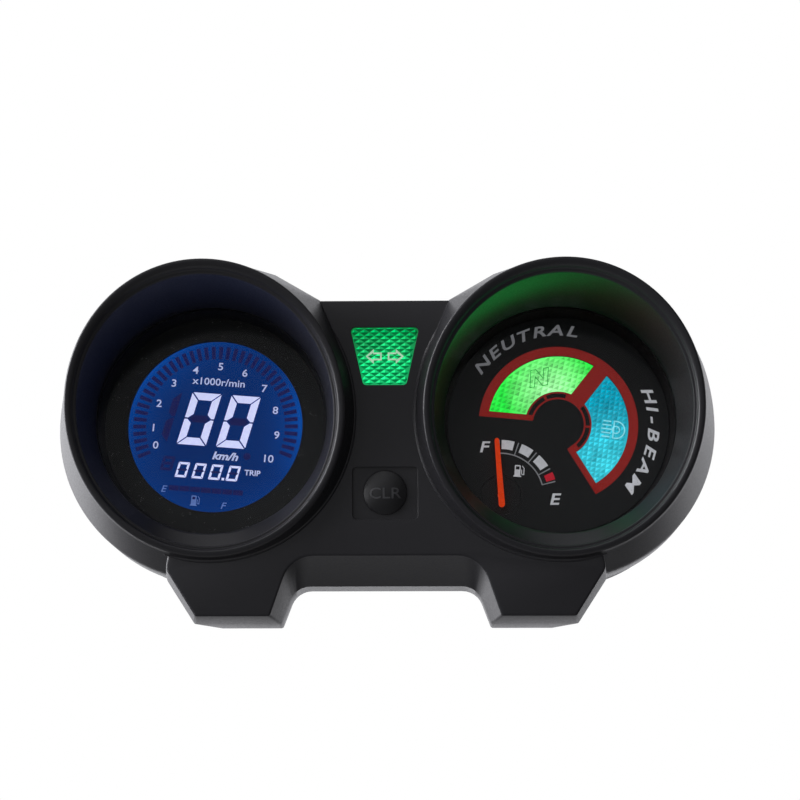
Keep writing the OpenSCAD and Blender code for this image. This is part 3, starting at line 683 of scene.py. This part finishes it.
def crease(side):
    """Raised bead along the fold between the hood's wall and the bridge and foot."""
    cx = side * POD_X
    lip, base = lip_ring(cx, *BEAD[0]), base_ring(cx)
    path = []
    for p, q in zip(base, lip):
        lo, hi = 0.0, 1.0
        for _ in range(16):
            t = (lo + hi) / 2
            x, y, h = (u + (v - u) * t for u, v in zip(p, q))
            lo, hi = (t, hi) if h < face_depth(y) else (lo, t)
        path.append((math.degrees(math.atan2(y, -side * (x - cx))), x, y, h))
    path = sorted(p for p in path if CREASE_START < p[0] < CREASE_STOP)
    sections = []
    for a, x, y, h in path:
        out = Vector((x - cx, y)).normalized()
        fade = min(1.0, (CREASE_STOP - a) / CREASE_FADE, (a - CREASE_START) / CREASE_FADE)
        sections.append([(x + out.x * d, y + out.y * d, h - 0.1 + up)
                         for d, up in circle(0.25 + 0.45 * fade, 10)])
    return loft("tool", sections, False)


def sign_outline(grow):
    """The turn-signal window."""
    return rounded([(-8 - grow, 10.3 - grow), (8 + grow, 10.3 - grow),
                    (12.9 + grow, 31.8 + grow), (-12.9 - grow, 31.8 + grow)], [1.6] * 4)


cover = block("cover_shell", 0.0, PART_LINE, True)
cut(cover, block("tool", HOOD_WALL, PART_LINE - 2, False), "DIFFERENCE")
for side in (-1, 1):
    cut(cover, bore_tool(side * POD_X), "DIFFERENCE")
for side in (-1, 1):
    cut(cover, hood(side * POD_X), "UNION")
    cut(cover, fairing(side), "UNION")
    cut(cover, crease(side), "UNION")
button_at = moved(on_face, 0, BUTTON_V)
cut(cover, tool_prism(circle(10.6, 64), -8.6, -1.0, button_at), "UNION")
cut(cover, tool_prism(sign_outline(0), -8, 6, on_face), "DIFFERENCE")
recess = rounded([(-12.1, -39.5), (12.1, -39.5), (12.1, -20), (-12.1, -20)], [1.6] * 4)
cut(cover, tool_prism(recess, -1.2, 6, on_face), "DIFFERENCE")
cut(cover, tool_prism(circle(8.06, 96), -20, 6, button_at), "DIFFERENCE")
for p in cover.data.polygons:
    p.use_smooth = True
cover.data.set_sharp_from_angle(angle=math.radians(28))
cover.data.materials.clear()
cover.data.materials.append(BLACK)
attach(cover, "housing")
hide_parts("front_cover")

# ---- Left display ----

LCD_TURN = -4.7
LCD_TOP = LCD_FRONT + 0.12
lcd = moved(left_dial, 0, 0, LCD_TURN)
SLANT = 0.2


def segment_outlines(w, h, t, gap, names):
    """Chosen segments of a seven-segment digit of width w, height h and stroke t."""
    def flip_x(pts):
        return [(w - x, y) for x, y in reversed(pts)]

    def flip_y(pts):
        return [(x, h - y) for x, y in reversed(pts)]

    m = h / 2
    upper_left = [(0, h - gap), (0, m + gap), (t * 0.4, m + gap * 0.8), (t, m + t * 0.5 + gap),
                  (t, h - t - gap)]
    top = [(gap, h), (w - gap, h), (w - t - gap, h - t), (t + gap, h - t)]
    shapes = {"a": top, "d": flip_y(top), "f": upper_left, "b": flip_x(upper_left),
              "e": flip_y(upper_left), "c": flip_x(flip_y(upper_left)),
              "g": [(t * 0.55 + gap, m), (t + gap, m + t / 2), (w - t - gap, m + t / 2),
                    (w - t * 0.55 - gap, m), (w - t - gap, m - t / 2), (t + gap, m - t / 2)]}
    return [shapes[n] for n in names]


def digit(w, h, t, x, y, names):
    """Slanted seven-segment digit with its lower left corner at x, y."""
    return [[(x + px + SLANT * py, y + py) for px, py in shape]
            for shape in segment_outlines(w, h, t, t * 0.12, names)]


ZERO = "abcdef"
BIG = (11.2, 20.6, 2.85)
SMALL = (4.3, 5.9, 0.85)
SPEED_X, SPEED_Y = (-14.2, 0.9), -7.8
TRIP_X, TRIP_Y = (-13.6, -7.2, -0.8, 5.9), -20.6
speed = [s for x in SPEED_X for s in digit(*BIG, x, SPEED_Y, ZERO)]
trip = [s for x in TRIP_X for s in digit(*SMALL, x, TRIP_Y, ZERO)]
trip.append(box_outline(0.95, 0.95, 4.9, TRIP_Y + 0.5))
prisms("lcd_speed_digits", speed, LCD_FRONT, LCD_TOP, lcd, LCD_LIT)
prisms("lcd_trip_digits", trip, LCD_FRONT, LCD_TOP, lcd, LCD_LIT)

ghosts = [s for x in SPEED_X for s in digit(*BIG, x, SPEED_Y, "g")]
ghosts += digit(*BIG, -29.3, SPEED_Y, "bc")
ghosts += [s for x in TRIP_X for s in digit(*SMALL, x, TRIP_Y, "g")]
ghosts += digit(4.6, 5.6, 1.1, -19.6, -18.4, "abcdefg")
ghosts += [box_outline(3.7, 2.0, -13.4 + 4.1 * i, -24.9) for i in range(7)]
ghosts.append([(x + 13.2, y - 10.6) for x, y in circle(1.4, 20)])
prisms("lcd_unlit_segments", ghosts, LCD_FRONT, LCD_TOP - 0.03, lcd, LCD_GHOST)
ticks = [sector(26.6, 31.6, 203 - 5.45 * i, 203 - 5.45 * i - 2.9, 1) for i in range(42)]
prisms("lcd_rev_bars", ticks, LCD_FRONT, LCD_TOP - 0.03, left_dial, LCD_GHOST)

REV_R = 23.8
words = []
for i in range(11):
    a = math.radians(197.0 if i == 0 else 180.4 - 23.55 * (i - 1))
    words.append((str(i), 2.95, 1.12, 0, 0.04,
                  moved(left_dial, REV_R * math.cos(a), REV_R * math.sin(a), LCD_TURN)))
words.append(("x1000r/min", 2.85, 1.12, 0, 0.04, moved(lcd, -0.4, 17.6)))
words.append(("km/h", 3.0, 1.18, 0.25, 0.12, moved(lcd, 4.8, -11.1)))
words.append(("TRIP", 2.15, 1.05, 0, 0.06, moved(lcd, 15.9, -16.8)))
lettering("lcd_printed_words", words, LCD_FRONT, LCD_TOP, LCD_PRINT)
lettering("lcd_level_letters", [
    ("E", 2.6, 1.1, 0.25, 0.02, moved(left_dial, -19.4, -23.9, LCD_TURN)),
    ("F", 2.6, 1.1, 0.25, 0.02, moved(left_dial, 3.4, -30.6, LCD_TURN))],
    LCD_FRONT, LCD_TOP, LCD_DIM)


def pump_outlines(s):
    """Fuel pump symbol of height s, drawn round its middle."""
    return [
        rounded([(-0.36 * s, -0.44 * s), (-0.36 * s, 0.46 * s), (0.12 * s, 0.46 * s),
                 (0.12 * s, -0.44 * s)], [0.05 * s, 0.08 * s, 0.08 * s, 0.05 * s], 3),
        box_outline(0.64 * s, 0.10 * s, -0.12 * s, -0.47 * s),
    ] + [
        [(x * s, y * s) for x, y in part] for part in (
            [(0.19, -0.30), (0.19, 0.10), (0.25, 0.10), (0.25, -0.30)],
            [(0.25, -0.34), (0.25, -0.27), (0.37, -0.27), (0.37, -0.34)],
            [(0.37, -0.34), (0.37, 0.22), (0.44, 0.22), (0.44, -0.34)],
            [(0.44, 0.22), (0.37, 0.22), (0.22, 0.40), (0.28, 0.43)])
    ]


def pump(name, s, back, front, to, ink, dark):
    """The symbol in ink with a dark window in it."""
    prisms(name, pump_outlines(s), back, front, to, ink)
    prisms(name + "_window", [box_outline(0.30 * s, 0.26 * s, -0.12 * s, 0.22 * s)], back,
           front + 0.02, to, dark)


pump("lcd_pump_mark", 4.0, LCD_FRONT, LCD_TOP, moved(left_dial, -7.2, -28.6, LCD_TURN), LCD_DIM,
     LCD_GHOST)

# ---- Right dial ----

INK = DIAL_FRONT + 0.10
WIN_OUT = 26.7
WIN_IN = 12.65
DIVIDER = 51.7  # angle of the bar between the two windows
BAR = 6.3  # width of that bar
NEUTRAL_EDGE = 174.5  # angle at which the neutral window ends
BEAM_EDGE = -59.0  # angle at which the high-beam window ends


def window_outline(first, last, grow):
    """Ring sector; each edge's angle is a function of the radius, as it may not be radial."""
    n = 40
    out = []
    for r, order in ((WIN_OUT + grow, 1), (WIN_IN - grow, -1)):
        a0, a1 = first(r), last(r)
        pts = [(r * math.cos(math.radians(a0 + (a1 - a0) * i / n)),
                r * math.sin(math.radians(a0 + (a1 - a0) * i / n))) for i in range(n + 1)]
        out += pts[::order]
    return out


def bar_shift(r, half):
    """Angle between a radius and the edge of a bar along it, at a distance from the centre."""
    return math.degrees(math.asin(half / r))


def neutral_window(grow):
    return window_outline(lambda r: DIVIDER + bar_shift(r, BAR / 2 - grow),
                          lambda r: NEUTRAL_EDGE - bar_shift(r, 2.6 - grow), grow)


def high_beam_window(grow):
    return window_outline(lambda r: BEAM_EDGE - bar_shift(r, grow),
                          lambda r: DIVIDER - bar_shift(r, BAR / 2 - grow), grow)


def inside(p, shape):
    """Whether the point lies in the closed outline."""
    x, y = p
    hit = False
    for (ax, ay), (bx, by) in zip(shape, shape[1:] + shape[:1]):
        if (ay > y) != (by > y) and x < (bx - ax) * (y - ay) / (by - ay) + ax:
            hit = not hit
    return hit


def pulled_in(corner, centre, shape):
    """The corner itself, or the last point towards it that is still inside the shape."""
    if inside(corner, shape):
        return corner
    lo, hi = 0.0, 1.0
    for _ in range(10):
        t = (lo + hi) / 2
        p = tuple(c + (k - c) * t for c, k in zip(centre, corner))
        lo, hi = (t, hi) if inside(p, shape) else (lo, t)
    return tuple(c + (k - c) * lo for c, k in zip(centre, corner))


def prism_field(name, shape, wide, tall, turn, base, height, to, material, brick=False):
    """Small pyramids over the whole shape: square cells, or rhombic cells in brick order."""
    c, s = math.cos(math.radians(turn)), math.sin(math.radians(turn))
    reach = 40
    bm = bmesh.new()
    half_w, half_h = wide * 0.485, tall * 0.485
    cell = [(-half_w, -half_h), (half_w, -half_h), (half_w, half_h), (-half_w, half_h)]
    if brick:
        cell = [(0, -2 * half_h), (half_w, 0), (0, 2 * half_h), (-half_w, 0)]
    for i in range(-int(reach / wide), int(reach / wide)):
        for j in range(-int(reach / tall), int(reach / tall)):
            u = (i + (0.5 * (j % 2) if brick else 0.0)) * wide
            v = j * tall
            middle = (u * c - v * s, u * s + v * c)
            if not inside(middle, shape):
                continue
            corners = [((u + a) * c - (v + b) * s, (u + a) * s + (v + b) * c) for a, b in cell]
            corners = [pulled_in(p, middle, shape) for p in corners]
            if min(math.dist(p, middle) for p in corners) < 0.12:
                continue
            low = [bm.verts.new(to(x, y, base - 0.05)) for x, y in corners]
            tip = bm.verts.new(to(*middle, base + height))
            bm.faces.new(low[::-1])
            for k in range(4):
                bm.faces.new((low[k], low[(k + 1) % 4], tip))
    return finished(name, bm, material, HOUSING, 10.0)


LENS_FRONT = (PLANE_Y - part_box("neutral_lens")[0].y) / MM
SIGN_FRONT = -2.0
prism_field("neutral_prisms", neutral_window(-0.1), 2.0, 2.0, -14, LENS_FRONT, 0.42, right_dial,
            GREEN)
prism_field("high_beam_prisms", high_beam_window(-0.1), 1.9, 1.9, -9, LENS_FRONT, 0.42,
            right_dial, BLUE)
prism_field("turn_signal_prisms", sign_outline(-0.15), 3.8, 1.25, 0, SIGN_FRONT, 0.6, on_face,
            SIGNAL, True)


def frame_of(name, outer, inner, back, front, to, material):
    """Flat frame between two outlines with the same number of points."""
    bm = bmesh.new()
    rows = [[bm.verts.new(to(x, y, h)) for x, y in pts]
            for pts, h in ((outer, back), (outer, front), (inner, front), (inner, back))]
    n = len(outer)
    for k in range(4):
        a, b = rows[k], rows[(k + 1) % 4]
        for i in range(n):
            bm.faces.new((a[i], a[(i + 1) % n], b[(i + 1) % n], b[i]))
    return finished(name, bm, material, HOUSING)


# Red print: outer ring, divider bar, the two end strips and the ring round the hub
RED_OUT = 30.3
RED_IN = 9.7
HUB_OUT = WIN_IN - 0.05
SOLID_PARTS = ((171.0, 166.0, 2), (117.5, 112.5, 2), (74.5, 36.0, 8), (-3.5, -7.5, 2),
               (-50.5, -63.0, 4))
SLOTTED_PARTS = ((166.0, 117.5), (112.5, 74.5), (36.0, -3.5), (-7.5, -50.5))


def radial_bar(r0, r1, low, high, degrees):
    """Rectangle along a radius, between two distances beside it."""
    return rotated([(r0, low), (r1, low), (r1, high), (r0, high)], degrees)


red = [sector(WIN_OUT + 0.05, RED_OUT, 173.8, -63.4, 90)]
red += [sector(RED_IN, HUB_OUT, first, last, steps) for first, last, steps in SOLID_PARTS]
for first, last in SLOTTED_PARTS:
    red.append(sector(RED_IN, 10.35, first, last, 14))
    red.append(sector(11.95, HUB_OUT, first, last, 14))
red.append(radial_bar(WIN_IN - 0.4, WIN_OUT + 0.4, -BAR / 2 + 0.05, BAR / 2 - 0.05, DIVIDER))
red.append(radial_bar(RED_IN + 0.2, RED_OUT - 0.1, -0.4, -2.5, NEUTRAL_EDGE))
red.append(radial_bar(RED_IN + 0.2, RED_OUT - 0.1, -2.3, -0.05, BEAM_EDGE))
prisms("dial_red_print", red, DIAL_FRONT, INK, right_dial, PRINT_RED)

# Words round the dial
neutral_word = arc_words("NEUTRAL", 37.0, 141.5, 81.0, 4.3, 1.5, 0.22, 0.11, right_dial)
beam_word = arc_words("HI-BEAM", 36.4, 18.0, -39.0, 4.4, 1.45, 0.22, 0.12, right_dial)
lettering("dial_neutral_word", neutral_word, DIAL_FRONT, INK, PRINT_GREY)
lettering("dial_high_beam_word", beam_word, DIAL_FRONT, INK, PRINT_WHITE)

# Marks on the windows
LETTER_N = [(-3.4, -3.3), (-3.4, 3.3), (-1.5, 3.3), (1.6, -0.6), (1.6, 3.3), (3.4, 3.3),
            (3.4, -3.3), (1.5, -3.3), (-1.6, 0.6), (-1.6, -3.3)]
MARK_LOW, MARK_HIGH = LENS_FRONT + 0.38, LENS_FRONT + 0.48


def stroked(corners, width):
    """Thin bars along the edges of a closed outline."""
    bars = []
    for a, b in zip(corners, corners[1:] + corners[:1]):
        way = (Vector(b) - Vector(a)).normalized() * width / 2
        off = Vector((-way.y, way.x))
        bars.append([tuple(Vector(p) + q) for p, q in
                     ((a, -way - off), (b, way - off), (b, way + off), (a, -way + off))])
    return bars


prisms("neutral_mark", stroked([(x + 0.25 * y, y) for x, y in LETTER_N], 0.3), MARK_LOW,
       MARK_HIGH, moved(right_dial, -7.0, 18.2, 10), MARK)
beam = [sector(3.05, 3.55, -100, 100, 18), sector(1.15, 1.6, -90, 270, 20)]
beam.append(box_outline(0.5, 6.9, -0.9, 0.0))
beam += [box_outline(3.9 - abs(y) * 0.3, 0.5, -3.6, y) for y in (-3.0, -1.5, 0.0, 1.5, 3.0)]
prisms("high_beam_mark", beam, MARK_LOW, MARK_HIGH, moved(right_dial, 21.8, -2.4, -8), BEAM)

# Fuel scale
blocks = [sector(17.8, 21.3, a, b, 4) for a, b in ((88.4, 75.0), (67.2, 53.8), (46.2, 32.2))]
prisms("fuel_scale_blocks", blocks, DIAL_FRONT, INK, fuel_dial, PRINT_WHITE)
prisms("fuel_scale_reserve", [sector(18.0, 21.5, 24.2, 16.4, 3)], DIAL_FRONT, INK, fuel_dial,
       PRINT_HOT)
scale = [sector(15.95, 16.4, 91.7, 13.6, 26)]
scale += [sector(16.4, 21.3, a + 0.6, a - 0.6, 1) for a in (91.1, 70.8, 49.9, 28.4, 14.2)]
prisms("fuel_scale_lines", scale, DIAL_FRONT, INK, fuel_dial, PRINT_GREY)
lettering("fuel_letters", [("F", 4.3, 1.25, 0.2, 0.10, moved(right_dial, -28.6, -8.6)),
                           ("E", 4.4, 1.25, 0.2, 0.12, moved(right_dial, -2.2, -28.8))],
          DIAL_FRONT, INK, PRINT_WHITE)
pump("fuel_pump_mark", 4.6, DIAL_FRONT, INK, moved(right_dial, -15.2, -18.0, -4), PRINT_WHITE,
     PRINTED)

# ---- Bridge ----

def arrow(side, shaft, head, w, e):
    """Arrow pointing to a side, its half width shaft, head or w, moved inwards by e."""
    slope = math.hypot(1, head / w)
    right = [(-w + e, -shaft + e), (e * 0.4, -shaft + e), (e * 0.4, -head + e * 2.4),
             (w - e * slope, 0), (e * 0.4, head - e * 2.4), (e * 0.4, shaft - e),
             (-w + e, shaft - e)]
    return [(side * x, y) for x, y in right]


ARROW_SIZE = (1.45, 2.75, 3.0)
for name, side in (("left", -1), ("right", 1)):
    frame_of("turn_arrow_" + name, arrow(side, *ARROW_SIZE, 0), arrow(side, *ARROW_SIZE, 0.62),
             SIGN_FRONT + 0.45, SIGN_FRONT + 0.62, moved(on_face, side * 4.1, 21.0), ARROW)

BUTTON_R = 8
DOME_RISE = 2
DOME_TOP = 2.2
DOME_R = (BUTTON_R ** 2 + DOME_RISE ** 2) / (2 * DOME_RISE)
BUTTON_TEXT = 4.2


def dome(r):
    """Height of the button's dome at a distance from its centre."""
    return DOME_TOP - DOME_R + math.sqrt(max(0.0, DOME_R * DOME_R - r * r))


bm = text_mesh("CLR", BUTTON_TEXT, 0.0, 0.04)
for v in bm.verts:
    x, y = v.co.x * 1.15, v.co.y - BUTTON_TEXT / 2
    v.co = button_at(x, y, dome(math.hypot(x, y)) - 0.12 + (v.co.z + 0.5) * 0.38)
finished("button_letters", bm, BUTTON_INK, "button")

# ---- Materials of the CAD nodes ----

FINISH = {
    "cover_plastic": BLACK, "case_plastic": CASE, "seal_rubber": RUBBER, "clear_lens": CLEAR,
    "dial_black": DIAL, "lcd_glass": LCD, "diffuser_white": WHITE, "white_plastic": WHITE,
    "board_green": BOARD, "led_white": LAMP, "chip_black": CHIP, "component_blue": SLEEVE,
    "dial_print": PRINTED, "green_lens": GREEN, "blue_lens": BLUE, "gauge_black": PRINTED,
    "bobbin_plastic": CREAM, "coil_copper": COPPER, "magnet_iron": IRON, "steel": STEEL,
    "needle_orange": NEEDLE, "button_rubber": BUTTON, "plunger_plastic": CREAM,
    "ribbon_grey": CABLE, "connector_plastic": CREAM, "terminal_metal": STEEL,
    "insert_brass": BRASS,
}
NODE_SLOT = {s["node"]: s["material_slot"] for s in frame["record"]["subparts"]}
for node_name, obj in frame["nodes"].items():
    finish = SIGNAL if node_name == "turn_signal_lens" else FINISH[NODE_SLOT[node_name]]
    obj.data.materials.clear()
    obj.data.materials.append(finish)
    for p in obj.data.polygons:
        p.material_index = 0
        p.use_smooth = True
    obj.data.set_sharp_from_angle(angle=math.radians(28))

# ---- Stage, lights and camera ----

FLOOR_Z = -0.205
FLOOR_R = 2.2
bm = bmesh.new()
for x, y in circle(FLOOR_R, 64):
    bm.verts.new((x, y, FLOOR_Z))
bm.faces.new(bm.verts)
pale = moulded("pale_floor", (0.74, 0.74, 0.75), 0.7, 60.0, 0.02, uneven=1.02)
floor = finished("floor", bm, pale)
# The lights below stand for all of the studio, so no light bounces off the floor onto the part
floor.visible_diffuse = False
floor.visible_glossy = False


def glow(name, where, power, colour, receivers, size=12.0):
    """Small lamp that lights only the named pieces, for light thrown by a lit window."""
    light = bpy.data.lights.new(name, "POINT")
    light.energy = power
    light.color = colour
    light.shadow_soft_size = size * MM
    obj = bpy.data.objects.new(name, light)
    bpy.context.scene.collection.objects.link(obj)
    obj.location = where
    group = bpy.data.collections.new(name + "_receivers")
    for r in receivers:
        group.objects.link(r)
    obj.light_linking.receiver_collection = group


glow("neutral_glow", right_dial(-8, 20, 12), 0.011, (0.0, 1.0, 0.16), [cover], 20.0)
glow("beam_glow", right_dial(22, -18, 12), 0.0008, (0.05, 0.75, 1.0), [cover])
glow("lcd_glow", left_dial(4, 14, 12), 0.0009, (0.06, 0.22, 1.0), [cover])

world = bpy.data.worlds.new("studio")
bpy.context.scene.world = world
world.use_nodes = True
tree = world.node_tree
tree.nodes.clear()
out = tree.nodes.new("ShaderNodeOutputWorld")
direction = tree.nodes.new("ShaderNodeTexCoord").outputs["Generated"]


def softbox(sideways, from_front, strength):
    """Soft round light at an angle round the view's axis (0 right, 90 up) and from the front."""
    a, t = math.radians(sideways), math.radians(from_front)
    n = tree.nodes.new("ShaderNodeVectorMath")
    n.operation = "DOT_PRODUCT"
    link(tree, direction, n.inputs[0])
    n.inputs[1].default_value = (math.sin(t) * math.cos(a), -math.cos(t), math.sin(t) * math.sin(a))
    falloff = tree.nodes.new("ShaderNodeMapRange")
    falloff.interpolation_type = "SMOOTHSTEP"
    falloff.inputs["From Min"].default_value = 0.8
    falloff.inputs["To Max"].default_value = strength
    link(tree, n.outputs["Value"], falloff.inputs["Value"])
    return falloff.outputs["Result"]


# Angle round the view's axis, angle from the front, strength
SOFTBOXES = ((0, 0, 0.24), (90, 45, 0.5), (135, 45, 0.45), (180, 45, 0.45), (270, 45, 0.05),
             (174, 85, 10.5), (5, 115, 1.2), (180, 115, 3.0), (90, 115, 1.1), (270, 100, 0.4),
             (0, 150, 0.6), (90, 150, 0.8), (180, 150, 0.8), (270, 150, 0.4), (0, 180, 0.7))
shade = 0.05
for box in SOFTBOXES:
    shade = maths(tree, "ADD", softbox(*box), shade)
lit = tree.nodes.new("ShaderNodeBackground")
lit.inputs["Color"].default_value = (0.96, 0.96, 1.0, 1)
link(tree, shade, lit.inputs["Strength"])
seen = tree.nodes.new("ShaderNodeBackground")
seen.inputs["Color"].default_value = (1, 1, 1, 1)
path = tree.nodes.new("ShaderNodeLightPath")
mix = tree.nodes.new("ShaderNodeMixShader")
link(tree, path.outputs["Is Camera Ray"], mix.inputs[0])
link(tree, lit.outputs[0], mix.inputs[1])
link(tree, seen.outputs[0], mix.inputs[2])
link(tree, mix.outputs[0], out.inputs["Surface"])

scene = bpy.context.scene
scene.view_settings.view_transform = "Standard"
scene.view_settings.look = "None"
scene.cycles.max_bounces = 8
scene.cycles.transparent_max_bounces = 12

VIEW_FROM = (18.23, -148.61, 700)  # millimetres right, up and out from between the dials
VIEW_UP = 12.75  # degrees above level
VIEW_LEFT = 1.065  # degrees to the left of straight back
lens = bpy.data.cameras.new("camera")
lens.sensor_width = 36.0
lens.lens = 84.39
lens.clip_start = 0.01
camera = bpy.data.objects.new("camera", lens)
scene.collection.objects.link(camera)
camera.location = at(*VIEW_FROM)
camera.rotation_euler = (math.radians(90 + VIEW_UP), 0, math.radians(VIEW_LEFT))
scene.camera = camera
